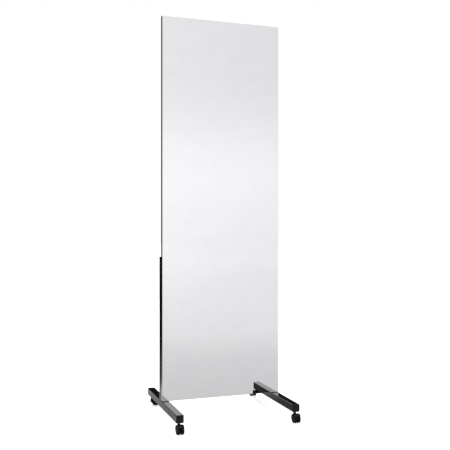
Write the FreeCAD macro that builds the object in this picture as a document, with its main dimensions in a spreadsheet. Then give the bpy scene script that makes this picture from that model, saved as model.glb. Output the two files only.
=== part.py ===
import FreeCAD, Part
import math
import os
import Sketcher

# A tall rolling mirror: polyester mirror film wrapped round a light aluminium frame, bolted to two
# posts that stand on two wheeled feet. Millimetres. +Z is up, the mirror faces -Y, and the origin is
# on the floor, midway between the feet and midway along them.

os.makedirs("parts", exist_ok=True)
doc = FreeCAD.newDocument("rolling_mirror")
Vector = FreeCAD.Vector
Rotation = FreeCAD.Rotation

DIMENSIONS = {
    # mirror panel
    "panel_width": 600,
    "panel_height": 1840,
    "film_thickness": 0.5,
    "film_return": 9.5,  # width of the film's turned-over border on the back
    "frame_depth": 25,
    "rail_width": 30,
    "rail_wall": 1.6,
    "key_leg": 60,
    "key_clearance": 0.1,
    "core_thickness": 14,
    "core_clearance": 1,
    "brace_height": 30,
    "brace_wall": 1.5,
    "lower_brace_level": 613,  # brace centre above the panel's bottom edge
    "upper_brace_level": 1227,
    "bracket_leg": 22,
    "bracket_thickness": 2,
    "bracket_width": 9,
    "board_thickness": 2.5,
    "board_inset": 10,
    "screw_line": 20,  # screw row's distance from the panel's edge
    "screw_end": 80,  # first and last side screw from the panel's ends
    "screw_pitch": 334,  # side screws are about this far apart
    "screw_spread": 110,  # end-rail screws' distance from the middle
    "screw_radius": 1.75,
    "screw_head_radius": 3.5,
    "screw_length": 12,
    "screw_clearance": 0.05,
    "screw_socket": 1.3,
    # posts, feet and their caps
    "tube_size": 35,
    "tube_wall": 2,
    "tube_corner": 2.5,
    "foot_length": 560,
    "foot_front": 252,  # front end of a foot to the mirror's face
    "post_height": 690,
    "cap_flange": 3,
    "cap_plug": 8,
    "cap_wall": 2,
    "cap_clearance": 0.15,
    "cap_round": 1,
    "pad_thickness": 2,
    "pad_inset": 1,
    # fixings
    "bolt_line": 20,  # mirror bolts' distance from the panel's edge
    "lower_bolt_level": 120,  # above the top of the foot
    "upper_bolt_level": 620,
    "bolt_radius": 3,
    "bolt_clearance": 0.2,
    "thread_clearance": 0.05,
    "mirror_bolt_length": 50,
    "hex_head_radius": 5.77,
    "hex_head_height": 4,
    "washer_radius": 6.25,
    "washer_thickness": 1.6,
    "rivet_nut_radius": 4.5,
    "rivet_nut_length": 14,
    "rivet_flange_radius": 6.5,
    "rivet_flange_thickness": 1.2,
    "rivet_flange_clearance": 0.5,
    "foot_bolt_spacing": 16,
    "nut_plate_thickness": 8,
    "socket_head_radius": 5,
    "socket_head_height": 5,
    "socket_radius": 2.9,
    "socket_depth": 3,
    # casters
    "stem_inset": 19,  # stem to the foot's end
    "stem_radius": 4,
    "stem_chamfer": 0.8,
    "collar_radius": 6,
    "collar_height": 1.2,
    "weld_nut_size": 16,
    "weld_nut_height": 7,
    "wheel_radius": 20,
    "wheel_width": 13,
    "wheel_gap": 0.5,
    "wheel_rim": 4,
    "wheel_recess": 8,
    "wheel_hub_radius": 6.5,
    "wheel_bore_depth": 10,
    "wheel_dish": 0.8,
    "wheel_lip": 5,
    "wheel_outer_round": 2.5,
    "wheel_inner_round": 1.2,
    "axle_radius": 3,
    "axle_fit": 0.02,
    "axle_end_gap": 0.4,
    "running_clearance": 0.08,
    "trail": 17,
    "web_thickness": 5,
    "web_foot": 9,  # reach of the web round the axle
    "web_flat": 9,  # width of the web's flat bottom
    "hood_clearance": 1.2,
    "hood_wall": 2.2,
    "hood_round": 1.6,
    "hood_front_angle": 140,
    "hood_rear_angle": -10,
    "boss_radius": 7,
    "boss_height": 12,
    "boss_rise": 1.6,  # top of the boss above the hood's crown
    "swivel_bore": 7,  # depth of the stem's bore in the boss
    "stem_neck": 6,  # top of the boss to the underside of the foot
    "thrust_gap": 0.1,
    "front_left_swivel": 0,
    "front_right_swivel": 0,
    "rear_left_swivel": 90,
    "rear_right_swivel": 180,
}

sheet = doc.addObject("Spreadsheet::Sheet", "dims")
for row, (alias, number) in enumerate(DIMENSIONS.items(), start=1):
    sheet.set(f"A{row}", alias)
    sheet.set(f"B{row}", str(number))
    sheet.setAlias(f"B{row}", alias)
doc.recompute()


def size(alias):
    """A driving dimension's present value."""
    return float(sheet.get(alias))


# Places that several pieces share, as expressions on the sheet.
HOOD_RADIUS = "(dims.wheel_radius + dims.hood_clearance + dims.hood_wall)"
BOSS_TOP = f"(dims.wheel_radius + {HOOD_RADIUS} + dims.boss_rise)"
FOOT_UNDER_Z = f"({BOSS_TOP} + dims.stem_neck)"
FACE_Y = "(dims.foot_front - dims.foot_length / 2)"
FRAME_BACK_Y = f"({FACE_Y} + dims.film_thickness + dims.frame_depth)"
FRAME_MID_Y = f"({FRAME_BACK_Y} - dims.frame_depth / 2)"
BOARD_BACK_Y = f"({FRAME_BACK_Y} + dims.board_thickness)"
POST_Y = f"({BOARD_BACK_Y} + dims.tube_size / 2)"
POST_BACK_Y = f"({BOARD_BACK_Y} + dims.tube_size)"
FOOT_TOP_Z = f"({FOOT_UNDER_Z} + dims.tube_size)"
PANEL_BOTTOM_Z = f"({FOOT_TOP_Z} + dims.pad_thickness)"
PANEL_MID_Z = f"({PANEL_BOTTOM_Z} + dims.panel_height / 2)"
TUBE_X = "(dims.panel_width / 2 - dims.tube_size / 2)"
BOLT_X = "(dims.panel_width / 2 - dims.bolt_line)"
STEM_Y = "(dims.foot_length / 2 - dims.stem_inset)"
TUBE_BORE = "(dims.tube_size - 2 * dims.tube_wall)"
CAP_BORE = f"({TUBE_BORE} - 2 * dims.cap_clearance)"
SIDES = {"left": -1, "right": 1}
ENDS = {"front": -1, "rear": 1}
OVER = 1  # how far a cutting shape runs past the material
ABOUT_Z = Vector(0, 0, 1)
ABOUT_X = Vector(1, 0, 0)
QUARTER_TURN = 90
FULL_TURN = 360
FORWARD = Rotation(ABOUT_X, QUARTER_TURN)  # turns a shape's +Z to -Y
COUNTERSINK_ANGLE = 90
HEX_SIDES = 6
PARALLEL = 0.999  # least cosine between two parallel directions
NEAR = 1e-4  # two lengths closer than this are the same
TRIM_REACH = 1.5  # how far the hood's trimming outline reaches, in hood radii

subparts = []


# ---- helpers -------------------------------------------------------------------------------------

def bind(item, **expressions):
    """Ties properties to expressions; two underscores in a name stand for a dot."""
    for name, expression in expressions.items():
        item.setExpression(name.replace("__", "."), str(expression))


def place(item, x="0", y="0", z="0", turn=None):
    """Ties an object's position to expressions, with an optional fixed turn."""
    if turn is not None:
        item.Placement = FreeCAD.Placement(Vector(), turn)
    bind(item, Placement__Base__x=x, Placement__Base__y=y, Placement__Base__z=z)
    return item


def keep(item, label):
    """Marks an object as a finished sub-part."""
    item.Label = label
    subparts.append(item)
    return item


def new_body(label):
    return keep(doc.addObject("PartDesign::Body", label), label)


def new_sketch(body, role, offset="0", along="0", up="0"):
    """An empty sketch on one of the body's origin planes, moved by its attachment offset."""
    plane = next(item for item in body.Origin.OriginFeatures if item.Role == role)
    sketch = body.newObject("Sketcher::SketchObject", f"{body.Name}_sketch")
    sketch.AttachmentSupport = [(plane, "")]
    sketch.MapMode = "FlatFace"
    bind(sketch, AttachmentOffset__Base__x=along, AttachmentOffset__Base__y=up,
         AttachmentOffset__Base__z=offset)
    return sketch


def fix_point(sketch, geometry, point, x, y):
    """Holds a sketch point at expressions measured from the sketch's origin."""
    for kind, expression in (("DistanceX", x), ("DistanceY", y)):
        index = sketch.addConstraint(Sketcher.Constraint(kind, -1, 1, geometry, point, 1.0))
        sketch.setExpression(f"Constraints[{index}]", str(expression))


def polygon(sketch, points):
    """Adds a closed outline through points that are pairs of expressions."""
    first = sketch.GeometryCount
    count = len(points)
    angles = [2 * math.pi * k / count for k in range(count)]
    rough = [Vector(math.cos(angle), math.sin(angle), 0) for angle in angles]
    for k in range(count):
        sketch.addGeometry(Part.LineSegment(rough[k], rough[(k + 1) % count]))
    for k in range(count):
        sketch.addConstraint(Sketcher.Constraint("Coincident", first + k, 2, first + (k + 1) % count, 1))
    for k, (x, y) in enumerate(points):
        fix_point(sketch, first + k, 1, x, y)
    return sketch


def rectangle(sketch, width, height):
    """Adds a rectangle centred on the sketch's origin."""
    corners = ((-1, -1), (1, -1), (1, 1), (-1, 1))
    return polygon(sketch, [(f"{u} * ({width}) / 2", f"{v} * ({height}) / 2") for u, v in corners])


def circle(sketch, x, y, radius):
    """Adds a circle given by expressions."""
    index = sketch.addGeometry(Part.Circle(Vector(0, 0, 0), Vector(0, 0, 1), 1.0))
    fix_point(sketch, index, 3, x, y)
    rule = sketch.addConstraint(Sketcher.Constraint("Radius", index, 1.0))
    sketch.setExpression(f"Constraints[{rule}]", str(radius))
    return sketch


def pad(body, sketch, length, side="One side", backwards=False):
    feature = body.newObject("PartDesign::Pad", f"{body.Name}_pad")
    feature.Profile = sketch
    feature.SideType = side
    feature.Reversed = backwards
    bind(feature, Length=length)
    return feature


def pocket(body, sketch, depth=None, both_ways=False, backwards=False):
    """Cuts a sketch's outline out of the body: to a depth, or right through."""
    feature = body.newObject("PartDesign::Pocket", f"{body.Name}_pocket")
    feature.Profile = sketch
    feature.SideType = "Symmetric" if both_ways else "One side"
    feature.Reversed = backwards
    if depth is None:
        feature.Type = "ThroughAll"
    else:
        bind(feature, Length=depth)
    return feature


def revolve(body, sketch, axis):
    feature = body.newObject("PartDesign::Revolution", f"{body.Name}_revolution")
    feature.Profile = sketch
    feature.ReferenceAxis = (sketch, [axis])
    feature.Angle = FULL_TURN
    return feature


def round_edges(body, radius, wanted):
    """Fillets the edges of the body's present solid for which wanted(edge) is true."""
    doc.recompute()
    base = body.Tip
    names = [f"Edge{k}" for k, edge in enumerate(base.Shape.Edges, start=1) if wanted(edge)]
    feature = body.newObject("PartDesign::Fillet", f"{body.Name}_fillet")
    feature.Base = (base, names)
    bind(feature, Radius=radius)
    return feature


def runs_along(edge, direction):
    """True for a straight edge parallel to a direction."""
    return isinstance(edge.Curve, Part.Line) and abs(edge.Curve.Direction.dot(direction)) > PARALLEL


def has_radius(edge, radius):
    """True for a circular edge of a radius."""
    return isinstance(edge.Curve, Part.Circle) and abs(edge.Curve.Radius - radius) < NEAR


def box(name, length, width, height, x, y, z):
    """A plain block from its low corner, all of it bound to expressions."""
    block = doc.addObject("Part::Box", name)
    bind(block, Length=length, Width=width, Height=height)
    return place(block, x, y, z)


def cylinder(name, radius, height, x, y, z, turn=None):
    rod = doc.addObject("Part::Cylinder", name)
    bind(rod, Radius=radius, Height=height)
    return place(rod, x, y, z, turn)


def hexagon(name, radius, height, x, y, z, turn=None):
    prism = doc.addObject("Part::Prism", name)
    prism.Polygon = HEX_SIDES
    bind(prism, Circumradius=radius, Height=height)
    return place(prism, x, y, z, turn)


def fuse(name, *pieces):
    joined = doc.addObject("Part::MultiFuse", name)
    joined.Shapes = list(pieces)
    return joined


def cut(name, base, *tools):
    """Takes each tool out of the base in turn."""
    for k, tool in enumerate(tools):
        result = doc.addObject("Part::Cut", f"{name}_cut_{k}")
        result.Base = base
        result.Tool = tool
        base = result
    return base


def group(label, pieces):
    """Several separate like solids kept as one sub-part."""
    bundle = doc.addObject("Part::Compound", label)
    bundle.Links = list(pieces)
    return keep(bundle, label)


# ---- mirror panel --------------------------------------------------------------------------------

def mirror_film():
    """Film over the front and all four sides, with its border turned over on to the frame's back."""
    back = "(dims.frame_depth + 2 * dims.film_thickness)"
    inner = "(dims.{0} - 2 * dims.film_thickness)"
    opening = "(dims.{0} - 2 * dims.film_return)"
    wrap = box("film_outside", "dims.panel_width", back, "dims.panel_height",
               "-dims.panel_width / 2", FACE_Y, PANEL_BOTTOM_Z)
    hollow = box("film_inside", inner.format("panel_width"), "dims.frame_depth", inner.format("panel_height"),
                 "dims.film_thickness - dims.panel_width / 2", f"{FACE_Y} + dims.film_thickness",
                 f"{PANEL_BOTTOM_Z} + dims.film_thickness")
    window = box("film_window", opening.format("panel_width"), f"dims.film_thickness + {2 * OVER}",
                 opening.format("panel_height"), "dims.film_return - dims.panel_width / 2",
                 f"{FRAME_BACK_Y} - {OVER}", f"{PANEL_BOTTOM_Z} + dims.film_return")
    keep(cut("mirror_film", wrap, hollow, window), "mirror_film")


def side_screw_levels():
    """Heights of the side screws above the panel's middle: evenly spread, about a pitch apart."""
    run = "(dims.panel_height - 2 * dims.screw_end)"
    gaps = round((size("panel_height") - 2 * size("screw_end")) / size("screw_pitch"))
    return [f"({k} / {gaps} - 1 / 2) * {run}" for k in range(gaps + 1)]


def screw_places():
    """Every back-board screw's place from the panel's centre, as pairs of expressions."""
    spots = [(f"{s} * (dims.panel_width / 2 - dims.screw_line)", level)
             for s in SIDES.values() for level in side_screw_levels()]
    spots += [(f"{s} * dims.screw_spread", f"{e} * (dims.panel_height / 2 - dims.screw_line)")
              for s in (-1, 1) for e in (-1, 1)]
    return spots


def mirror_bolt_levels(datum):
    """Heights of the two mirror bolts of a post above a datum that is itself above the foot's top."""
    return [f"(dims.{name} - {datum})" for name in ("lower_bolt_level", "upper_bolt_level")]


def mitred_tube(label, upright, inner_side):
    """A rectangular aluminium tube of the frame, cut at 45 degrees at both ends.

    inner_side is the way to the middle of the panel, along X for an upright and along Z for a rail.
    """
    body = new_body(label)
    length = "(dims.panel_height - 2 * dims.film_thickness)" if upright \
        else "(dims.panel_width - 2 * dims.film_thickness)"
    bore_width = "(dims.rail_width - 2 * dims.rail_wall)"
    bore_depth = "(dims.frame_depth - 2 * dims.rail_wall)"
    plane = "XY_Plane" if upright else "YZ_Plane"
    sections = (("dims.rail_width", "dims.frame_depth"), (bore_width, bore_depth))
    outer, inner = sections if upright else [(b, a) for a, b in sections]
    pad(body, rectangle(new_sketch(body, plane), *outer), length, "Symmetric")
    pocket(body, rectangle(new_sketch(body, plane), *inner), both_ways=True)
    mitres = new_sketch(body, "XZ_Plane")
    past = f"(dims.rail_width / 2 + {OVER})"
    for end in (-1, 1):
        tip = f"{end} * ({length} / 2 + {OVER})"
        heel = f"{end} * ({length} / 2 - dims.rail_width - {OVER})"
        across = ((f"{inner_side} * {past}", heel), (f"{inner_side} * {past}", tip),
                  (f"{-inner_side} * {past}", tip))
        polygon(mitres, across if upright else [(b, a) for a, b in across])
    pocket(body, mitres, both_ways=True)
    return body


def frame_holes(body, places, radius):
    """Drills the frame's back wall only."""
    holes = new_sketch(body, "XZ_Plane")
    for x, z in places:
        circle(holes, x, z, radius)
    pocket(body, holes)


def frame():
    """Two stiles and two rails, with rivet-nut holes in the stiles and screw holes in all four."""
    screw_bore = "dims.screw_radius + dims.screw_clearance"
    edge = "(dims.{0} / 2 - dims.film_thickness - dims.rail_width / 2)"
    screw_shift = "(dims.film_thickness + dims.rail_width / 2 - dims.screw_line)"
    bolt_shift = "(dims.film_thickness + dims.rail_width / 2 - dims.bolt_line)"
    for name, s in SIDES.items():
        stile = mitred_tube(f"{name}_stile", True, -s)
        place(stile, f"{s} * {edge.format('panel_width')}", FRAME_MID_Y, PANEL_MID_Z)
        screws = [(f"{s} * {screw_shift}", level) for level in side_screw_levels()]
        frame_holes(stile, screws, screw_bore)
        datum = "dims.pad_thickness - dims.panel_height / 2"
        frame_holes(stile, [(f"{s} * {bolt_shift}", level) for level in mirror_bolt_levels(datum)],
                    "dims.rivet_nut_radius + dims.thread_clearance")
    for name, e in (("bottom", -1), ("top", 1)):
        rail = mitred_tube(f"{name}_rail", False, -e)
        place(rail, "0", FRAME_MID_Y, f"{PANEL_MID_Z} + {e} * {edge.format('panel_height')}")
        screws = [(f"{s} * dims.screw_spread", f"{e} * {screw_shift}") for s in (-1, 1)]
        frame_holes(rail, screws, screw_bore)


def corner_keys():
    """An L-shaped key inside each mitred corner."""
    lip = "(dims.film_thickness + dims.rail_wall + dims.key_clearance)"
    thick = "(dims.rail_width - 2 * dims.rail_wall - 2 * dims.key_clearance)"
    depth = "(dims.frame_depth - 2 * dims.rail_wall - 2 * dims.key_clearance)"
    y = f"{FRAME_MID_Y} - {depth} / 2"
    keys = []
    for s in SIDES.values():
        for e in (-1, 1):
            legs = []
            for name, wide, tall in (("up", thick, "dims.key_leg"), ("across", "dims.key_leg", thick)):
                x = f"{s} * (dims.panel_width / 2 - {lip}) - {(1 + s) / 2} * {wide}"
                z = f"{PANEL_MID_Z} + {e} * (dims.panel_height / 2 - {lip}) - {(1 + e) / 2} * {tall}"
                legs.append(box(f"key_{name}", wide, depth, tall, x, y, z))
            keys.append(fuse("corner_key", *legs))
    group("corner_keys", keys)


def braces():
    """Two cross tubes behind the core, each held to the stiles by a pair of angle brackets."""
    depth = "(dims.frame_depth - dims.core_thickness)"
    span = "(dims.panel_width - 2 * dims.film_thickness - 2 * dims.rail_width)"
    y = f"{FRAME_BACK_Y} - {depth} / 2"
    brackets = []
    for name in ("lower", "upper"):
        level = f"({PANEL_BOTTOM_Z} + dims.{name}_brace_level)"
        brace = new_body(f"{name}_brace")
        pad(brace, rectangle(new_sketch(brace, "YZ_Plane"), depth, "dims.brace_height"), span, "Symmetric")
        bore = (f"{depth} - 2 * dims.brace_wall", "dims.brace_height - 2 * dims.brace_wall")
        pocket(brace, rectangle(new_sketch(brace, "YZ_Plane"), *bore), both_ways=True)
        place(brace, "0", y, level)
        under = f"{level} - dims.brace_height / 2"
        for s in SIDES.values():
            inward = (1 + s) / 2
            x = f"{s} * {span} / 2"
            low_y = f"{y} - dims.bracket_width / 2"
            shelf = box("bracket_shelf", "dims.bracket_leg", "dims.bracket_width", "dims.bracket_thickness",
                        f"{x} - {inward} * dims.bracket_leg", low_y, f"{under} - dims.bracket_thickness")
            wall = box("bracket_wall", "dims.bracket_thickness", "dims.bracket_width", "dims.bracket_leg",
                       f"{x} - {inward} * dims.bracket_thickness", low_y, f"{under} - dims.bracket_leg")
            brackets.append(fuse("brace_bracket", shelf, wall))
    group("brace_brackets", brackets)


def foam_core():
    """Rigid foam sheet that backs the film inside the frame."""
    margin = "(dims.film_thickness + dims.rail_width + dims.core_clearance)"
    core = box("foam_core", f"dims.panel_width - 2 * {margin}", "dims.core_thickness",
               f"dims.panel_height - 2 * {margin}", f"{margin} - dims.panel_width / 2",
               f"{FACE_Y} + dims.film_thickness", f"{PANEL_BOTTOM_Z} + {margin}")
    keep(core, "foam_core")


def back_board():
    """Thin black sheet over the back, countersunk for its screws and cleared for the rivet nuts."""
    body = new_body("back_board")
    width = "(dims.panel_width - 2 * dims.board_inset)"
    height = "(dims.panel_height - 2 * dims.board_inset)"
    outline = rectangle(new_sketch(body, "XZ_Plane"), width, height)
    pad(body, outline, "dims.board_thickness", backwards=True)
    clearances = new_sketch(body, "XZ_Plane")
    for s in SIDES.values():
        for level in mirror_bolt_levels("dims.pad_thickness - dims.panel_height / 2"):
            circle(clearances, f"{s} * {BOLT_X}", level,
                   "dims.rivet_flange_radius + dims.rivet_flange_clearance")
    pocket(body, clearances)
    screws = new_sketch(body, "XZ_Plane", "-dims.board_thickness")
    for x, z in screw_places():
        circle(screws, x, z, "dims.screw_radius")
    doc.recompute()
    holes = body.newObject("PartDesign::Hole", "back_board_holes")
    holes.Profile = screws
    holes.DepthType = "ThroughAll"
    holes.HoleCutType = "Countersink"
    holes.HoleCutCustomValues = True
    holes.HoleCutCountersinkAngle = COUNTERSINK_ANGLE
    holes.Reversed = True
    bind(holes, Diameter="2 * (dims.screw_radius + dims.screw_clearance)",
         HoleCutDiameter="2 * (dims.screw_head_radius + dims.screw_clearance)")
    place(body, "0", FRAME_BACK_Y, PANEL_MID_Z)


def back_board_screws():
    """Countersunk self-tapping screws, flush with the board."""
    taper = "(dims.screw_head_radius - dims.screw_radius)"
    screws = []
    for x, z in screw_places():
        level = f"{PANEL_MID_Z} + {z}"
        shank = cylinder("screw_shank", "dims.screw_radius", "dims.screw_length",
                         x, BOARD_BACK_Y, level, FORWARD)
        head = doc.addObject("Part::Cone", "screw_head")
        bind(head, Radius1="dims.screw_head_radius", Radius2="dims.screw_radius", Height=taper)
        place(head, x, BOARD_BACK_Y, level, FORWARD)
        socket = hexagon("screw_socket", "dims.screw_socket", f"{taper} / 2 + {OVER}", x,
                         f"{BOARD_BACK_Y} + {OVER}", level, FORWARD)
        screws.append(cut("screw", fuse("screw_blank", shank, head), socket))
    group("back_board_screws", screws)


# ---- stand ---------------------------------------------------------------------------------------

def square_tube(label, plane, length):
    """A steel tube with rounded corners, centred on its body's origin."""
    body = new_body(label)
    along = {"XY_Plane": Vector(0, 0, 1), "XZ_Plane": Vector(0, 1, 0)}[plane]
    pad(body, rectangle(new_sketch(body, plane), "dims.tube_size", "dims.tube_size"), length, "Symmetric")
    round_edges(body, "dims.tube_corner", lambda edge: runs_along(edge, along))
    pocket(body, rectangle(new_sketch(body, plane), TUBE_BORE, TUBE_BORE), both_ways=True)
    return body


def square_cap(label, x, y, z, turn):
    """A moulded end cap. Before its turn, its flange faces -Y and its plug goes in along +Y."""
    body = new_body(label)
    out = Vector(0, 1, 0)
    outline = rectangle(new_sketch(body, "XZ_Plane"), "dims.tube_size", "dims.tube_size")
    pad(body, outline, "dims.cap_flange")
    round_edges(body, "dims.tube_corner", lambda edge: runs_along(edge, out))
    face = -size("cap_flange")
    round_edges(body, "dims.cap_round", lambda edge: all(abs(v.Y - face) < NEAR for v in edge.Vertexes))
    plug = rectangle(new_sketch(body, "XZ_Plane"), CAP_BORE, CAP_BORE)
    pad(body, plug, "dims.cap_plug", backwards=True)
    hollow = f"{CAP_BORE} - 2 * dims.cap_wall"
    pocket(body, rectangle(new_sketch(body, "XZ_Plane"), hollow, hollow), "dims.cap_plug")
    place(body, x, y, z, turn)


def foot_bolt_offsets():
    return [f"({k} * dims.foot_bolt_spacing / 2)" for k in (-1, 1)]


def foot(side, s):
    """A foot tube, drilled for its two caster stems and for the two bolts that hold the post."""
    body = square_tube(f"{side}_foot", "XZ_Plane", "dims.foot_length - 2 * dims.cap_flange")
    stems = new_sketch(body, "XY_Plane")
    for e in ENDS.values():
        circle(stems, "0", f"{e} * {STEM_Y}", "dims.stem_radius + dims.bolt_clearance")
    pocket(body, stems)
    bolts = new_sketch(body, "XY_Plane")
    for offset in foot_bolt_offsets():
        circle(bolts, "0", f"{POST_Y} + {offset}", "dims.bolt_radius + dims.bolt_clearance")
    pocket(body, bolts, both_ways=True)
    x = f"{s} * {TUBE_X}"
    middle = f"{FOOT_UNDER_Z} + dims.tube_size / 2"
    place(body, x, "0", middle)
    for end, e in ENDS.items():
        turn = Rotation(ABOUT_Z, QUARTER_TURN * (1 + e))
        y = f"{e} * (dims.foot_length / 2 - dims.cap_flange)"
        square_cap(f"{end}_{side}_foot_cap", x, y, middle, turn)


def weld_nuts(side, s):
    """Square nuts welded inside the foot, above its two stem holes."""
    nuts = []
    floor = f"{FOOT_UNDER_Z} + dims.tube_wall"
    for e in ENDS.values():
        block = box("weld_nut_block", "dims.weld_nut_size", "dims.weld_nut_size", "dims.weld_nut_height",
                    f"{s} * {TUBE_X} - dims.weld_nut_size / 2",
                    f"{e} * {STEM_Y} - dims.weld_nut_size / 2", floor)
        thread = cylinder("weld_nut_thread", "dims.stem_radius + dims.thread_clearance",
                          f"dims.weld_nut_height + {2 * OVER}", f"{s} * {TUBE_X}", f"{e} * {STEM_Y}",
                          f"{floor} - {OVER}")
        nuts.append(cut("weld_nut", block, thread))
    group(f"{side}_foot_weld_nuts", nuts)


def post(side, s):
    """A post tube, drilled through for its two mirror bolts, with a cap on its top."""
    length = "(dims.post_height - dims.cap_flange)"
    body = square_tube(f"{side}_post", "XY_Plane", length)
    holes = new_sketch(body, "XZ_Plane")
    across = f"{s} * (dims.tube_size / 2 - dims.bolt_line)"
    for level in mirror_bolt_levels(f"{length} / 2"):
        circle(holes, across, level, "dims.bolt_radius + dims.bolt_clearance")
    pocket(body, holes, both_ways=True)
    x = f"{s} * {TUBE_X}"
    place(body, x, POST_Y, f"{FOOT_TOP_Z} + {length} / 2")
    square_cap(f"{side}_post_cap", x, POST_Y, f"{FOOT_TOP_Z} + {length}", FORWARD.inverted())


def post_nut_plate(side, s):
    """Tapped plate welded inside the post's bottom end."""
    body = new_body(f"{side}_post_nut_plate")
    outline = rectangle(new_sketch(body, "XY_Plane"), CAP_BORE, CAP_BORE)
    pad(body, outline, "dims.nut_plate_thickness")
    threads = new_sketch(body, "XY_Plane")
    for offset in foot_bolt_offsets():
        circle(threads, "0", offset, "dims.bolt_radius + dims.thread_clearance")
    pocket(body, threads, both_ways=True)
    place(body, f"{s} * {TUBE_X}", POST_Y, FOOT_TOP_Z)


def foot_bolts(side, s):
    """Socket-head bolts driven up through the foot into the post's nut plate."""
    bolts = []
    x = f"{s} * {TUBE_X}"
    head_z = f"{FOOT_UNDER_Z} - dims.socket_head_height"
    for offset in foot_bolt_offsets():
        y = f"{POST_Y} + {offset}"
        shank = cylinder("foot_bolt_shank", "dims.bolt_radius", "dims.tube_size + dims.nut_plate_thickness",
                         x, y, FOOT_UNDER_Z)
        head = cylinder("foot_bolt_head", "dims.socket_head_radius", "dims.socket_head_height", x, y, head_z)
        socket = hexagon("foot_bolt_socket", "dims.socket_radius", f"dims.socket_depth + {OVER}", x, y,
                         f"{head_z} - {OVER}")
        bolts.append(cut("foot_bolt", fuse("foot_bolt_blank", shank, head), socket))
    group(f"{side}_foot_bolts", bolts)


def mirror_fixings():
    """Hex bolts and washers behind the posts, and the rivet nuts that they screw into."""
    washer_back = f"({POST_BACK_Y} + dims.washer_thickness)"
    washers = []
    nuts = []
    for side, s in SIDES.items():
        x = f"{s} * {BOLT_X}"
        bolts = []
        for level in mirror_bolt_levels("0"):
            z = f"{FOOT_TOP_Z} + {level}"
            shank = cylinder("mirror_bolt_shank", "dims.bolt_radius", "dims.mirror_bolt_length",
                             x, washer_back, z, FORWARD)
            head = hexagon("mirror_bolt_head", "dims.hex_head_radius", "dims.hex_head_height",
                           x, f"{washer_back} + dims.hex_head_height", z, FORWARD)
            bolts.append(fuse("mirror_bolt", shank, head))
            disc = cylinder("washer_disc", "dims.washer_radius", "dims.washer_thickness",
                            x, washer_back, z, FORWARD)
            eye = cylinder("washer_eye", "dims.bolt_radius + dims.bolt_clearance",
                           f"dims.washer_thickness + {2 * OVER}", x, f"{washer_back} + {OVER}", z, FORWARD)
            washers.append(cut("washer", disc, eye))
            flange = cylinder("rivet_nut_flange", "dims.rivet_flange_radius", "dims.rivet_flange_thickness",
                              x, f"{FRAME_BACK_Y} + dims.rivet_flange_thickness", z, FORWARD)
            barrel = cylinder("rivet_nut_barrel", "dims.rivet_nut_radius", "dims.rivet_nut_length",
                              x, FRAME_BACK_Y, z, FORWARD)
            thread = cylinder("rivet_nut_thread", "dims.bolt_radius + dims.thread_clearance",
                              f"dims.rivet_nut_length + dims.rivet_flange_thickness + {2 * OVER}",
                              x, f"{FRAME_BACK_Y} + dims.rivet_flange_thickness + {OVER}", z, FORWARD)
            nuts.append(cut("rivet_nut", fuse("rivet_nut_blank", flange, barrel), thread))
        group(f"{side}_mirror_bolts", bolts)
    group("mirror_bolt_washers", washers)
    group("stile_rivet_nuts", nuts)


def panel_pad(side, s):
    """Rubber strip between the panel's bottom edge and the foot."""
    width = "(dims.tube_size - 2 * dims.tube_corner)"
    depth = "(dims.frame_depth + 2 * dims.film_thickness - 2 * dims.pad_inset)"
    strip = box(f"{side}_panel_pad", width, depth, "dims.pad_thickness", f"{s} * {TUBE_X} - {width} / 2",
                f"{FACE_Y} + dims.pad_inset", FOOT_TOP_Z)
    keep(strip, f"{side}_panel_pad")


# ---- casters -------------------------------------------------------------------------------------
# Each caster is drawn with its swivel axis on Z, the floor at Z = 0 and its axle towards -Y.

def seat_caster_piece(body, end, side, turns=True):
    """Moves a caster's piece under its stem hole, turned to the way that caster points."""
    place(body, f"{SIDES[side]} * {TUBE_X}", f"{ENDS[end]} * {STEM_Y}")
    if turns:
        bind(body, Placement__Rotation__Angle=f"dims.{end}_{side}_swivel")


def caster_stem(end, side):
    """Threaded stem, fixed in the foot, with a collar that the housing turns under."""
    body = new_body(f"{end}_{side}_caster_stem")
    tip = f"({BOSS_TOP} - dims.swivel_bore + dims.thrust_gap)"
    collar = f"({BOSS_TOP} + dims.thrust_gap)"
    top = f"({FOOT_UNDER_Z} + dims.tube_wall + dims.weld_nut_height + dims.stem_chamfer)"
    outline = [("0", tip), ("dims.stem_radius", tip), ("dims.stem_radius", collar),
               ("dims.collar_radius", collar),
               ("dims.collar_radius", f"{collar} + dims.collar_height"),
               ("dims.stem_radius", f"{collar} + dims.collar_height"),
               ("dims.stem_radius", f"{top} - dims.stem_chamfer"),
               ("dims.stem_radius - dims.stem_chamfer", top), ("0", top)]
    revolve(body, polygon(new_sketch(body, "XZ_Plane"), outline), "V_Axis")
    seat_caster_piece(body, end, side, turns=False)


def from_axle(lip, radius):
    """A point at the angle of one of the hood's two lips, at a radius from the axle."""
    angle = f"dims.hood_{lip}_angle * 1 deg"
    return f"-dims.trail + {radius} * cos({angle})", f"dims.wheel_radius + {radius} * sin({angle})"


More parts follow.
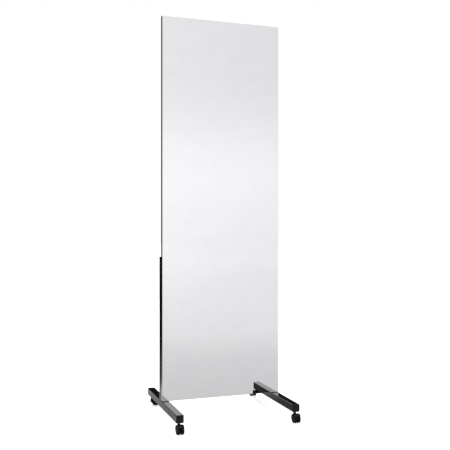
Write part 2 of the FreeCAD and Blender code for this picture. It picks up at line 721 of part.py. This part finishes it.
def caster_housing(end, side):
    """Moulded housing: a hood over both wheels, a web between them and a boss round the stem."""
    body = new_body(f"{end}_{side}_caster_housing")
    axle = ("-dims.trail", "dims.wheel_radius")
    half_web = "dims.web_thickness / 2"
    well_radius = "dims.wheel_radius + dims.hood_clearance"
    hood_width = "(dims.web_thickness + 2 * dims.wheel_gap + 2 * dims.wheel_width)"
    pad(body, circle(new_sketch(body, "YZ_Plane"), *axle, HOOD_RADIUS), hood_width, "Symmetric")
    boss_base = new_sketch(body, "XY_Plane", f"{BOSS_TOP} - dims.boss_height")
    pad(body, circle(boss_base, "0", "0", "dims.boss_radius"), "dims.boss_height")
    for s in (-1, 1):
        well = circle(new_sketch(body, "YZ_Plane", f"{s} * {half_web}"), *axle, well_radius)
        pocket(body, well, backwards=s > 0)
    reach = f"({HOOD_RADIUS} * {TRIM_REACH})"
    front_out, rear_out = [from_axle(name, reach) for name in ("front", "rear")]
    front_in, rear_in = [from_axle(name, "dims.web_foot") for name in ("front", "rear")]
    below = f"dims.wheel_radius - {reach}"
    web_low = "dims.wheel_radius - dims.web_foot"
    trim = [front_out, (f"-dims.trail - {reach}", below), (f"-dims.trail + {reach}", below),
            rear_out, rear_in,
            ("-dims.trail + dims.web_flat / 2", web_low), ("-dims.trail - dims.web_flat / 2", web_low),
            front_in]
    pocket(body, polygon(new_sketch(body, "YZ_Plane"), trim), both_ways=True)
    boss_face = new_sketch(body, "XY_Plane", BOSS_TOP)
    bore = circle(boss_face, "0", "0", "dims.stem_radius + dims.running_clearance")
    pocket(body, bore, "dims.swivel_bore")
    axle_hole = circle(new_sketch(body, "YZ_Plane"), *axle, "dims.axle_radius + dims.axle_fit")
    pocket(body, axle_hole, both_ways=True)
    rim = size("wheel_radius") + size("hood_clearance") + size("hood_wall")
    round_edges(body, "dims.hood_round",
                lambda edge: has_radius(edge, rim) and abs(edge.Curve.Axis.x) > PARALLEL)
    seat_caster_piece(body, end, side)


def caster_axle(end, side):
    body = new_body(f"{end}_{side}_caster_axle")
    reach = "(dims.wheel_gap + dims.wheel_bore_depth - dims.axle_end_gap)"
    rod = circle(new_sketch(body, "YZ_Plane"), "-dims.trail", "dims.wheel_radius", "dims.axle_radius")
    pad(body, rod, f"dims.web_thickness + 2 * {reach}", "Symmetric")
    seat_caster_piece(body, end, side)


def caster_wheel(end, side, letter, s):
    """One moulded wheel: hollow towards the web, closed and slightly dished on its outer side."""
    body = new_body(f"{end}_{side}_wheel_{letter}")
    inside = "(dims.web_thickness / 2 + dims.wheel_gap)"
    outside = f"({inside} + dims.wheel_width)"
    bore = "dims.axle_radius + dims.running_clearance"
    rim_inside = "dims.wheel_radius - dims.wheel_rim"
    recess = f"{inside} + dims.wheel_recess"
    dish = f"{outside} - dims.wheel_dish"
    lip = "dims.wheel_radius - dims.wheel_lip"
    outline = [(inside, bore), (inside, "dims.wheel_hub_radius"),
               (recess, "dims.wheel_hub_radius"), (recess, rim_inside),
               (inside, rim_inside), (inside, "dims.wheel_radius"), (outside, "dims.wheel_radius"),
               (outside, lip),
               (dish, f"{lip} - dims.wheel_dish"), (dish, "0"), (f"{inside} + dims.wheel_bore_depth", "0"),
               (f"{inside} + dims.wheel_bore_depth", bore)]
    sketch = new_sketch(body, "XY_Plane", "dims.wheel_radius", up="-dims.trail")
    revolve(body, polygon(sketch, [(f"{s} * ({x})", radius) for x, radius in outline]), "H_Axis")
    inner_x = size("web_thickness") / 2 + size("wheel_gap")
    outer_x = inner_x + size("wheel_width")
    rim = size("wheel_radius")
    for radius, x in (("wheel_outer_round", outer_x), ("wheel_inner_round", inner_x)):
        round_edges(body, f"dims.{radius}",
                    lambda edge: has_radius(edge, rim) and abs(edge.Curve.Center.x - s * x) < NEAR)
    seat_caster_piece(body, end, side)


# ---- the whole object ----------------------------------------------------------------------------

mirror_film()
frame()
corner_keys()
braces()
foam_core()
back_board()
back_board_screws()
for side, s in SIDES.items():
    foot(side, s)
    weld_nuts(side, s)
    post(side, s)
    post_nut_plate(side, s)
    foot_bolts(side, s)
    panel_pad(side, s)
mirror_fixings()
for end in ENDS:
    for side in SIDES:
        caster_stem(end, side)
        caster_housing(end, side)
        caster_axle(end, side)
        for letter, s in (("a", -1), ("b", 1)):
            caster_wheel(end, side, letter, s)

doc.recompute()
for item in doc.Objects:
    if "Invalid" in item.State or "Error" in item.State:
        raise RuntimeError(f"{item.Label} failed: {item.State}")
for item in subparts:
    if item.Shape.isNull() or not item.Shape.isValid() or not item.Shape.Solids:
        raise RuntimeError(f"{item.Label} has no valid shape")
for item in subparts:
    item.Shape.exportStep(f"parts/{item.Label}.step")
print(len(subparts), "sub-parts written")
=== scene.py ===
import math

import bmesh
import bpy
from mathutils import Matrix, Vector


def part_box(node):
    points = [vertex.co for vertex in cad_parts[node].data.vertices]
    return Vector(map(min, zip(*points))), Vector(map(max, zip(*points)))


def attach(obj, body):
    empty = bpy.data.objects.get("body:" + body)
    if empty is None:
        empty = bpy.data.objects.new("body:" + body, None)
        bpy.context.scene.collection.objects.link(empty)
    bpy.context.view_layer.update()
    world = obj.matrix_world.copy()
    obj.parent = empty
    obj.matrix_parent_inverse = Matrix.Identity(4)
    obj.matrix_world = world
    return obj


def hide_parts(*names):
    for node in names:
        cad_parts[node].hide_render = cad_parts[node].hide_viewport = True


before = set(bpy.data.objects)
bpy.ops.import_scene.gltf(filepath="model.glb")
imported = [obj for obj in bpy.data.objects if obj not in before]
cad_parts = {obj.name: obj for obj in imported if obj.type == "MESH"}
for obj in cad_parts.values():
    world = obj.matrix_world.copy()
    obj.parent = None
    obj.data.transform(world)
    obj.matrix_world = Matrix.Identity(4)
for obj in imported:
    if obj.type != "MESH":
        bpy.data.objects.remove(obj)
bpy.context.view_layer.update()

# ---- mirror film ---------------------------------------------------------------------------------
# Clear polyester film with a vacuum-deposited aluminium back, heat-shrunk like a drum skin over the
# front and sides of a light frame. Its border is turned over on to the back of the frame, tucked at
# each corner and glued down.

MM = 0.001
FILM_THICKNESS = 0.5 * MM
FILM_BORDER = 9.5 * MM
FILM_EDGE_ROUND = 0.9 * MM
FILM_EDGE_STEPS = 3
FILM_SHARP_ANGLE = math.radians(35)
FILM_ROUGHNESS = (0.015, 0.045)
WAVE_WIDTH = 170
WAVE_DEPTH = 0.04 * MM
CLOUD_WIDTH = 60


def linear(hex_colour):
    """An sRGB hex colour as linear RGBA."""
    channels = [int(hex_colour[k:k + 2], 16) / 255 for k in (1, 3, 5)]
    return [c / 12.92 if c <= 0.04045 else ((c + 0.055) / 1.055) ** 2.4 for c in channels] + [1.0]


def add(tree, kind, inputs=None, **settings):
    """Adds a node; an input is a value or another node's output."""
    node = tree.nodes.new(kind)
    for name, value in settings.items():
        setattr(node, name, value)
    for name, value in (inputs or {}).items():
        if isinstance(value, bpy.types.NodeSocket):
            tree.links.new(value, node.inputs[name])
        else:
            node.inputs[name].default_value = value
    return node


def start_material(name):
    """An empty material, its node tree and its object coordinates."""
    material = bpy.data.materials.new(name)
    material.use_nodes = True
    material.node_tree.nodes.clear()
    where = add(material.node_tree, "ShaderNodeTexCoord").outputs["Object"]
    return material, material.node_tree, where


def end_material(tree, surface):
    """Joins the finished shader to the output."""
    add(tree, "ShaderNodeOutputMaterial", {"Surface": surface.outputs[0]})


def per(millimetres):
    """A texture scale that gives one feature per so many millimetres."""
    return 1 / (millimetres * MM)


def ramp(tree, factor, stops):
    """A colour ramp through (position, colour) stops."""
    node = add(tree, "ShaderNodeValToRGB", {"Fac": factor})
    elements = node.color_ramp.elements
    while len(elements) < len(stops):
        elements.new(0.5)
    for element, (position, colour) in zip(elements, stops):
        element.position = position
        element.color = colour
    return node.outputs["Color"]


# Aluminised polyester: a bright mirror with a very slight grey cast and hardly any depth of clear
# film over the metal. The heat-shrunk sheet is not as flat as glass, so it has long, shallow waves
# about a hand's width apart.
film_metal, tree, where = start_material("aluminised_polyester_film")
waves = add(tree, "ShaderNodeTexNoise", {
    "Vector": where, "Scale": per(WAVE_WIDTH), "Detail": 2.0, "Roughness": 0.4})
clouds = add(tree, "ShaderNodeTexNoise", {
    "Vector": where, "Scale": per(CLOUD_WIDTH), "Detail": 3.0})
tint = ramp(tree, clouds.outputs["Fac"], [(0.3, linear("#ECEBEE")), (0.7, linear("#EFEEF0"))])
haze = add(tree, "ShaderNodeMapRange", {
    "Value": clouds.outputs["Fac"], "To Min": FILM_ROUGHNESS[0], "To Max": FILM_ROUGHNESS[1]})
drum = add(tree, "ShaderNodeBump", {
    "Height": waves.outputs["Fac"], "Strength": 1.0, "Distance": WAVE_DEPTH})
end_material(tree, add(tree, "ShaderNodeBsdfPrincipled", {
    "Base Color": tint, "Metallic": 1.0, "Roughness": haze.outputs["Result"],
    "Normal": drum.outputs["Normal"]}))

# A box as large as the panel, open at the back inside its border, with its folds rounded.
film_low, film_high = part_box("mirror_film")
sheet = bmesh.new()
bmesh.ops.create_cube(sheet, size=1.0)
bmesh.ops.scale(sheet, vec=film_high - film_low, verts=sheet.verts)
bmesh.ops.translate(sheet, vec=(film_low + film_high) / 2, verts=sheet.verts)
folds = list(sheet.edges)
back = [face for face in sheet.faces if face.normal.y > 0.5]
bmesh.ops.inset_region(sheet, faces=back, thickness=FILM_BORDER, use_even_offset=True)
bmesh.ops.delete(sheet, geom=back, context="FACES")
bmesh.ops.bevel(sheet, geom=folds, offset=FILM_EDGE_ROUND, offset_type="OFFSET",
                segments=FILM_EDGE_STEPS, profile=0.5, affect="EDGES", material=-1)
bmesh.ops.recalc_face_normals(sheet, faces=sheet.faces)
film_mesh = bpy.data.meshes.new("film_skin")
sheet.to_mesh(film_mesh)
sheet.free()
film_mesh.materials.append(film_metal)
film_mesh.shade_smooth()
film_mesh.set_sharp_from_angle(angle=FILM_SHARP_ANGLE)
film = bpy.data.objects.new("film_skin", film_mesh)
bpy.context.scene.collection.objects.link(film)
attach(film, "mirror_stand")
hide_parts("mirror_film")
skin = film.modifiers.new("thickness", "SOLIDIFY")
skin.thickness = FILM_THICKNESS
skin.offset = -1.0
flats = film.modifiers.new("flats", "WEIGHTED_NORMAL")
flats.weight = 100
flats.keep_sharp = True

# ---- frame ---------------------------------------------------------------------------------------
# Four mitred lengths of extruded aluminium tube, mill finish, with corner keys, cross braces and
# brackets. A sheet of expanded polystyrene fills it and backs the film, which hides the rest.

MILL_ROUGHNESS = (0.28, 0.42)
DIE_LINE_WIDTH = 0.6
DIE_LINE_DEPTH = 0.02 * MM
BEAD_WIDTH = 4
BEAD_DEPTH = 0.3 * MM


def dress(material, *names):
    """Gives CAD nodes a material in place of their plain one."""
    for name in names:
        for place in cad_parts[name].material_slots:
            place.material = material


# Mill finish: grey and half dull, with the die's fine marks. They are drawn coarser than the real
# ones so that they show.
aluminium, tree, where = start_material("mill_finish_aluminium")
lines = add(tree, "ShaderNodeTexNoise", {
    "Vector": where, "Scale": per(DIE_LINE_WIDTH), "Detail": 2.0})
sheen = add(tree, "ShaderNodeMapRange", {
    "Value": lines.outputs["Fac"], "To Min": MILL_ROUGHNESS[0], "To Max": MILL_ROUGHNESS[1]})
tone = ramp(tree, lines.outputs["Fac"], [(0.3, linear("#B9BBBD")), (0.7, linear("#CDCFD1"))])
grooves = add(tree, "ShaderNodeBump", {"Height": lines.outputs["Fac"], "Distance": DIE_LINE_DEPTH})
end_material(tree, add(tree, "ShaderNodeBsdfPrincipled", {
    "Base Color": tone, "Metallic": 1.0, "Roughness": sheen.outputs["Result"],
    "Normal": grooves.outputs["Normal"]}))
dress(aluminium, "left_stile", "right_stile", "top_rail", "bottom_rail", "corner_keys",
      "lower_brace", "upper_brace", "brace_brackets")

# Expanded polystyrene: fused white beads, each a low dome with a greyer edge.
polystyrene, tree, where = start_material("expanded_polystyrene")
beads = add(tree, "ShaderNodeTexVoronoi", {"Vector": where, "Scale": per(BEAD_WIDTH)})
bead_tone = ramp(tree, beads.outputs["Distance"], [
    (0.1, linear("#F4F5F4")), (0.8, linear("#DADCDC"))])
bead_bump = add(tree, "ShaderNodeBump", {
    "Height": beads.outputs["Distance"], "Distance": BEAD_DEPTH}, invert=True)
end_material(tree, add(tree, "ShaderNodeBsdfPrincipled", {
    "Base Color": bead_tone, "Roughness": 0.8, "Normal": bead_bump.outputs["Normal"]}))
dress(polystyrene, "foam_core")

# ---- back board ----------------------------------------------------------------------------------
# A 2.5 mm sheet of black plastic with a fine embossed grain on the outside. It closes the back of
# the frame and is held by countersunk screws round its edge.

BOARD_ROUGHNESS = (0.48, 0.62)
EMBOSSING_WIDTH = 0.8
EMBOSSING_DEPTH = 0.08 * MM
MOTTLE_WIDTH = 9

# The embossing roller leaves a fine, satin grain, and handling a soft mottle over it.
board_plastic, tree, where = start_material("embossed_black_plastic_sheet")
mottle = add(tree, "ShaderNodeTexNoise", {
    "Vector": where, "Scale": per(MOTTLE_WIDTH), "Detail": 4.0})
embossing = add(tree, "ShaderNodeTexNoise", {
    "Vector": where, "Scale": per(EMBOSSING_WIDTH), "Detail": 1.0})
board_tone = ramp(tree, mottle.outputs["Fac"], [
    (0.3, linear("#1B1B1C")), (0.7, linear("#262627"))])
board_sheen = add(tree, "ShaderNodeMapRange", {
    "Value": mottle.outputs["Fac"], "To Min": BOARD_ROUGHNESS[0], "To Max": BOARD_ROUGHNESS[1]})
board_bump = add(tree, "ShaderNodeBump", {
    "Height": embossing.outputs["Fac"], "Strength": 0.6, "Distance": EMBOSSING_DEPTH})
end_material(tree, add(tree, "ShaderNodeBsdfPrincipled", {
    "Base Color": board_tone, "Roughness": board_sheen.outputs["Result"],
    "Normal": board_bump.outputs["Normal"]}))
dress(board_plastic, "back_board")

# ---- posts and feet ------------------------------------------------------------------------------
# Square steel tube with rolled corners, cut to length, drilled and powder coated in semi-gloss
# black. Each post stands on its foot and is bolted through it.

SIDES = ("left", "right")
POWDER_IOR = 1.8
POWDER_ROUGHNESS = (0.09, 0.16)
PEEL_WIDTH = 2.5
PEEL_DEPTH = 0.03 * MM
SMEAR_WIDTH = 45

# Powder coat flows into a smooth, glossy orange peel as it is baked, and picks up faint smears.
powder_coat, tree, where = start_material("black_powder_coated_steel")
peel = add(tree, "ShaderNodeTexNoise", {
    "Vector": where, "Scale": per(PEEL_WIDTH), "Detail": 1.0, "Roughness": 0.3})
smears = add(tree, "ShaderNodeTexNoise", {
    "Vector": where, "Scale": per(SMEAR_WIDTH), "Detail": 4.0, "Distortion": 0.6})
coat_tone = ramp(tree, smears.outputs["Fac"], [
    (0.35, linear("#060607")), (0.7, linear("#0C0C0D"))])
coat_sheen = add(tree, "ShaderNodeMapRange", {
    "Value": smears.outputs["Fac"], "To Min": POWDER_ROUGHNESS[0],
    "To Max": POWDER_ROUGHNESS[1]})
coat_bump = add(tree, "ShaderNodeBump", {
    "Height": peel.outputs["Fac"], "Strength": 0.5, "Distance": PEEL_DEPTH})
end_material(tree, add(tree, "ShaderNodeBsdfPrincipled", {
    "Base Color": coat_tone, "Roughness": coat_sheen.outputs["Result"], "IOR": POWDER_IOR,
    "Coat Weight": 0.4, "Coat Roughness": 0.1, "Normal": coat_bump.outputs["Normal"]}))
for side in SIDES:
    dress(powder_coat, f"{side}_foot", f"{side}_post")

# ---- tube caps -----------------------------------------------------------------------------------
# Injection-moulded black polyethylene caps. Each closes the open end of a foot or a post and is
# pushed in, so that the tube's walls grip it.

ENDS = ("front", "rear")
SPARK_WIDTH = 0.7
SPARK_DEPTH = 0.05 * MM

# The mould is spark eroded, which gives the plastic a fine, even grain and a low sheen.
cap_plastic, tree, where = start_material("moulded_black_polyethylene")
spark = add(tree, "ShaderNodeTexNoise", {"Vector": where, "Scale": per(SPARK_WIDTH), "Detail": 2.0})
cap_tone = ramp(tree, spark.outputs["Fac"], [(0.3, linear("#0D0C0D")), (0.7, linear("#141315"))])
cap_bump = add(tree, "ShaderNodeBump", {
    "Height": spark.outputs["Fac"], "Strength": 0.5, "Distance": SPARK_DEPTH})
end_material(tree, add(tree, "ShaderNodeBsdfPrincipled", {
    "Base Color": cap_tone, "Roughness": 0.42, "Specular IOR Level": 0.2,
    "Normal": cap_bump.outputs["Normal"]}))
for side in SIDES:
    dress(cap_plastic, f"{side}_post_cap", *[f"{end}_{side}_foot_cap" for end in ENDS])

# ---- panel pads ----------------------------------------------------------------------------------
# Thin black rubber strips, stuck to the feet where the panel stands on them, so that it neither
# slips nor rattles.

BLOOM_WIDTH = 3

# Cured rubber is dull, with a greyish bloom in small patches.
rubber, tree, where = start_material("black_rubber")
bloom = add(tree, "ShaderNodeTexNoise", {"Vector": where, "Scale": per(BLOOM_WIDTH), "Detail": 3.0})
rubber_tone = ramp(tree, bloom.outputs["Fac"], [(0.3, linear("#131313")), (0.7, linear("#1D1D1D"))])
end_material(tree, add(tree, "ShaderNodeBsdfPrincipled", {
    "Base Color": rubber_tone, "Roughness": 0.75}))
dress(rubber, "left_panel_pad", "right_panel_pad")

# ---- fixings -------------------------------------------------------------------------------------
# Cold-formed steel, barrel plated with zinc and passivated: hex bolts and washers, socket-head
# bolts, board screws, rivet nuts, weld nuts and tapped plates.

ZINC_ROUGHNESS = (0.22, 0.38)
PLATING_WIDTH = 4

# Barrel plating leaves a soft cloudiness, slightly blue in places and slightly yellow in others.
zinc, tree, where = start_material("zinc_plated_steel")
plating = add(tree, "ShaderNodeTexNoise", {
    "Vector": where, "Scale": per(PLATING_WIDTH), "Detail": 3.0})
zinc_tone = ramp(tree, plating.outputs["Fac"], [
    (0.3, linear("#9DA3AC")), (0.55, linear("#B4B7BA")), (0.75, linear("#BDB9A9"))])
zinc_sheen = add(tree, "ShaderNodeMapRange", {
    "Value": plating.outputs["Fac"], "To Min": ZINC_ROUGHNESS[0], "To Max": ZINC_ROUGHNESS[1]})
end_material(tree, add(tree, "ShaderNodeBsdfPrincipled", {
    "Base Color": zinc_tone, "Metallic": 1.0, "Roughness": zinc_sheen.outputs["Result"]}))
dress(zinc, "mirror_bolt_washers", "stile_rivet_nuts", "back_board_screws",
      *[f"{side}_{part}" for side in SIDES
        for part in ("mirror_bolts", "foot_bolts", "foot_weld_nuts", "post_nut_plate")])

# ---- casters -------------------------------------------------------------------------------------
# Twin-wheel swivel casters: a moulded black nylon hood over two nylon wheels on a steel axle. A
# threaded steel stem holds each one in the foot's weld nut.

NYLON_SPECULAR = 0.12
HOOD_ROUGHNESS = 0.34
WHEEL_ROUGHNESS = (0.4, 0.65)
HOOD_GRAIN_WIDTH = 0.9
HOOD_GRAIN_DEPTH = 0.05 * MM
DUST_WIDTH = 5

# Moulded nylon with a light texture from the tool: satin rather than glossy.
housing_nylon, tree, where = start_material("black_nylon_moulding")
grain = add(tree, "ShaderNodeTexNoise", {
    "Vector": where, "Scale": per(HOOD_GRAIN_WIDTH), "Detail": 2.0})
housing_tone = ramp(tree, grain.outputs["Fac"], [
    (0.3, linear("#070607")), (0.7, linear("#0D0C0D"))])
housing_bump = add(tree, "ShaderNodeBump", {
    "Height": grain.outputs["Fac"], "Strength": 0.4, "Distance": HOOD_GRAIN_DEPTH})
end_material(tree, add(tree, "ShaderNodeBsdfPrincipled", {
    "Base Color": housing_tone, "Roughness": HOOD_ROUGHNESS, "Specular IOR Level": NYLON_SPECULAR,
    "Normal": housing_bump.outputs["Normal"]}))

# The wheels are the same nylon, scuffed dull and slightly dusty where they roll.
wheel_nylon, tree, where = start_material("rolled_nylon_wheel")
dust = add(tree, "ShaderNodeTexNoise", {"Vector": where, "Scale": per(DUST_WIDTH), "Detail": 5.0})
wheel_tone = ramp(tree, dust.outputs["Fac"], [(0.35, linear("#080708")), (0.75, linear("#151414"))])
wheel_sheen = add(tree, "ShaderNodeMapRange", {
    "Value": dust.outputs["Fac"], "To Min": WHEEL_ROUGHNESS[0], "To Max": WHEEL_ROUGHNESS[1]})
end_material(tree, add(tree, "ShaderNodeBsdfPrincipled", {
    "Base Color": wheel_tone, "Roughness": wheel_sheen.outputs["Result"],
    "Specular IOR Level": NYLON_SPECULAR}))

for end in ENDS:
    for side in SIDES:
        caster = f"{end}_{side}"
        dress(housing_nylon, f"{caster}_caster_housing")
        dress(zinc, f"{caster}_caster_stem", f"{caster}_caster_axle")
        dress(wheel_nylon, f"{caster}_wheel_a", f"{caster}_wheel_b")

# ---- camera --------------------------------------------------------------------------------------
# A level view from in front of the mirror and to its left, at a little under half its height and
# 3.4 m away.

CAMERA_PLACE = (-1.107, -3.259, 0.929)
CAMERA_YAW = math.radians(-19.16)
FOCAL_LENGTH = 55.728
SENSOR = 36.0

camera = bpy.data.objects.new("camera", bpy.data.cameras.new("camera"))
camera.data.sensor_width = SENSOR
camera.data.lens = FOCAL_LENGTH
camera.location = CAMERA_PLACE
camera.rotation_euler = (math.radians(90), 0, CAMERA_YAW)
bpy.context.scene.collection.objects.link(camera)
bpy.context.scene.camera = camera
bpy.context.scene.view_settings.view_transform = "Standard"

# ---- studio walls --------------------------------------------------------------------------------
# The camera sees plain white all round. What the glossy surfaces see is a studio with a bright
# front wall and a dark rear one, which turns grey overhead.

STUDIO_BRIGHTNESS = 1.08
DIM_FROM, DIM_TO = 0.24, 0.45
DIM_BRIGHTNESS = 0.9
FRONT_BLEND = 0.25


def grey(value):
    """A linear grey."""
    return (value, value, value, 1.0)


def falloff(tree, place):
    """The studio gets slightly dimmer to the right of the stand."""
    heading = add(tree, "ShaderNodeVectorMath", {0: place}, operation="NORMALIZE")
    sideways = add(tree, "ShaderNodeSeparateXYZ", {"Vector": heading.outputs[0]})
    return add(tree, "ShaderNodeMapRange", {
        "Value": sideways.outputs["X"], "From Min": DIM_FROM, "From Max": DIM_TO,
        "To Min": 1.0, "To Max": DIM_BRIGHTNESS}).outputs["Result"]


world = bpy.data.worlds.new("studio")
bpy.context.scene.world = world
world.use_nodes = True
tree = world.node_tree
tree.nodes.clear()
direction = add(tree, "ShaderNodeTexCoord").outputs["Generated"]
parts = add(tree, "ShaderNodeSeparateXYZ", {"Vector": direction})
# Height runs from 0 straight down through 0.5 on the horizon to 1 straight up.
height = add(tree, "ShaderNodeMapRange", {
    "Value": parts.outputs["Z"], "From Min": -1.0, "From Max": 1.0})
front_tone = ramp(tree, height.outputs["Result"], [
    (0.40, grey(0.80)), (0.49, grey(0.97)), (0.51, grey(1.0)), (0.533, grey(1.03)),
    (0.555, grey(1.0)), (0.577, grey(0.92)), (0.60, grey(0.87)), (0.64, grey(0.86)),
    (0.75, grey(0.70)), (1.0, grey(0.45))])
rear_tone = ramp(tree, height.outputs["Result"], [
    (0.50, grey(0.003)), (0.69, grey(0.003)), (0.78, grey(0.20)), (1.0, grey(0.45))])
frontness = add(tree, "ShaderNodeMapRange", {
    "Value": parts.outputs["Y"], "From Min": FRONT_BLEND, "From Max": -FRONT_BLEND})
# A Mix node's colour inputs are numbers 6 and 7, and its colour output is number 2.
mixed = add(tree, "ShaderNodeMix", {
    0: frontness.outputs["Result"], 6: rear_tone, 7: front_tone}, data_type="RGBA")
dimming = add(tree, "ShaderNodeVectorMath", {
    0: mixed.outputs[2], "Scale": falloff(tree, direction)}, operation="SCALE")
studio = add(tree, "ShaderNodeBackground", {
    "Color": dimming.outputs[0], "Strength": STUDIO_BRIGHTNESS})
white = add(tree, "ShaderNodeBackground", {"Color": grey(1.0), "Strength": 1.0})
seen = add(tree, "ShaderNodeLightPath").outputs["Is Camera Ray"]
backdrop = add(tree, "ShaderNodeMixShader", {0: seen, 1: studio.outputs[0], 2: white.outputs[0]})
add(tree, "ShaderNodeOutputWorld", {"Surface": backdrop.outputs[0]})

# ---- floors --------------------------------------------------------------------------------------
# The camera sees a floor of white paper, lit well enough to leave only faint shadows. The glossy
# surfaces see the studio's own floor, which is bright in front of the stand and dark behind it.

FLOOR_HALF_SIZE = 30
PAPER_GLOW = 0.5
REBOUND_BRIGHTNESS = 0.15
FLOOR_FRONT, FLOOR_REAR = -14.0, 6.0
DIM_FLOOR_FROM, DIM_FLOOR_TO = -2.0, -9.0
SHADOW_HALF_WIDTH, SHADOW_HALF_DEPTH = 0.34, 0.30
SHADOW_CORE, SHADOW_RIM = 0.4, 1.25
SHADOW_TONE = 0.35


def make_floor(name, material):
    """A square floor at z = 0."""
    mesh = bmesh.new()
    bmesh.ops.create_grid(mesh, x_segments=1, y_segments=1, size=FLOOR_HALF_SIZE)
    data = bpy.data.meshes.new(name)
    mesh.to_mesh(data)
    mesh.free()
    data.materials.append(material)
    floor = bpy.data.objects.new(name, data)
    bpy.context.scene.collection.objects.link(floor)
    return floor


paper_white, tree, where = start_material("white_paper_floor")
paper = add(tree, "ShaderNodeBsdfDiffuse", {"Color": grey(0.8)})
glow = add(tree, "ShaderNodeEmission", {"Color": grey(1.0), "Strength": PAPER_GLOW})
end_material(tree, add(tree, "ShaderNodeAddShader", {0: paper.outputs[0], 1: glow.outputs[0]}))
paper_floor = make_floor("floor", paper_white)
paper_floor.visible_glossy = False
paper_floor.visible_diffuse = False

studio_tones, tree, where = start_material("studio_floor")
along = add(tree, "ShaderNodeSeparateXYZ", {"Vector": where})
reach = add(tree, "ShaderNodeMapRange", {
    "Value": along.outputs["Y"], "From Min": FLOOR_FRONT, "From Max": FLOOR_REAR})
# Tones at so many metres behind the stand, from far in front of it to close behind.
tones = [(-14.0, 0.972), (-10.0, 0.944), (-4.75, 0.875), (-2.5, 0.824), (-1.25, 0.692),
         (-0.30, 0.633), (0.08, 0.30), (0.55, 0.42), (0.80, 0.10), (1.90, 0.02), (2.50, 0.005)]
floor_tone = ramp(tree, reach.outputs["Result"], [
    ((metres - FLOOR_FRONT) / (FLOOR_REAR - FLOOR_FRONT), grey(value)) for metres, value in tones])
# The soft shadow under the stand.
spread = add(tree, "ShaderNodeVectorMath", {
    0: where, 1: (1 / SHADOW_HALF_WIDTH, 1 / SHADOW_HALF_DEPTH, 0)}, operation="MULTIPLY")
radius = add(tree, "ShaderNodeVectorMath", {0: spread.outputs[0]}, operation="LENGTH")
shade = add(tree, "ShaderNodeMapRange", {
    "Value": radius.outputs["Value"], "From Min": SHADOW_CORE, "From Max": SHADOW_RIM,
    "To Min": SHADOW_TONE, "To Max": 1.0}, interpolation_type="SMOOTHSTEP")
shaded = add(tree, "ShaderNodeVectorMath", {
    0: floor_tone, "Scale": shade.outputs["Result"]}, operation="SCALE")
far = add(tree, "ShaderNodeMapRange", {
    "Value": along.outputs["Y"], "From Min": DIM_FLOOR_FROM, "From Max": DIM_FLOOR_TO})
dimmed = add(tree, "ShaderNodeVectorMath", {
    0: shaded.outputs[0], "Scale": falloff(tree, where)}, operation="SCALE")
# A Mix node's vector inputs are numbers 4 and 5, and its vector output is number 1.
evened = add(tree, "ShaderNodeMix", {
    0: far.outputs["Result"], 4: shaded.outputs[0], 5: dimmed.outputs[0]}, data_type="VECTOR")
# Light that has already bounced off the stand and the mirror comes back much weaker.
bounces = add(tree, "ShaderNodeLightPath").outputs["Ray Depth"]
fading = add(tree, "ShaderNodeMapRange", {
    "Value": bounces, "From Min": 1.0, "From Max": 2.0,
    "To Min": STUDIO_BRIGHTNESS, "To Max": REBOUND_BRIGHTNESS})
end_material(tree, add(tree, "ShaderNodeEmission", {
    "Color": evened.outputs[1], "Strength": fading.outputs["Result"]}))
mirrored_floor = make_floor("mirrored_floor", studio_tones)
mirrored_floor.location.z = -1 * MM
mirrored_floor.visible_camera = False
mirrored_floor.visible_shadow = False

# ---- lights --------------------------------------------------------------------------------------
# A very broad soft light from overhead, and a softbox behind the stand for its back.

OVERHEAD_STRENGTH = 3.0
OVERHEAD_SPREAD = math.radians(80)
OVERHEAD_TILT = (math.radians(8), math.radians(-5), 0)
SOFTBOX_PLACE = Vector((1.5, 3.8, 3.6))
SOFTBOX_AIM = Vector((0, 0, 0.9))
SOFTBOX_SIZE = 2.5
SOFTBOX_WATTS = 90

overhead = bpy.data.objects.new("overhead_light", bpy.data.lights.new("overhead_light", "SUN"))
overhead.data.energy = OVERHEAD_STRENGTH
overhead.data.angle = OVERHEAD_SPREAD
overhead.rotation_euler = OVERHEAD_TILT
bpy.context.scene.collection.objects.link(overhead)

softbox = bpy.data.objects.new("rear_light", bpy.data.lights.new("rear_light", "AREA"))
softbox.data.shape = "SQUARE"
softbox.data.size = SOFTBOX_SIZE
softbox.data.energy = SOFTBOX_WATTS
softbox.location = SOFTBOX_PLACE
softbox.rotation_euler = (SOFTBOX_AIM - SOFTBOX_PLACE).to_track_quat("-Z", "Y").to_euler()
bpy.context.scene.collection.objects.link(softbox)
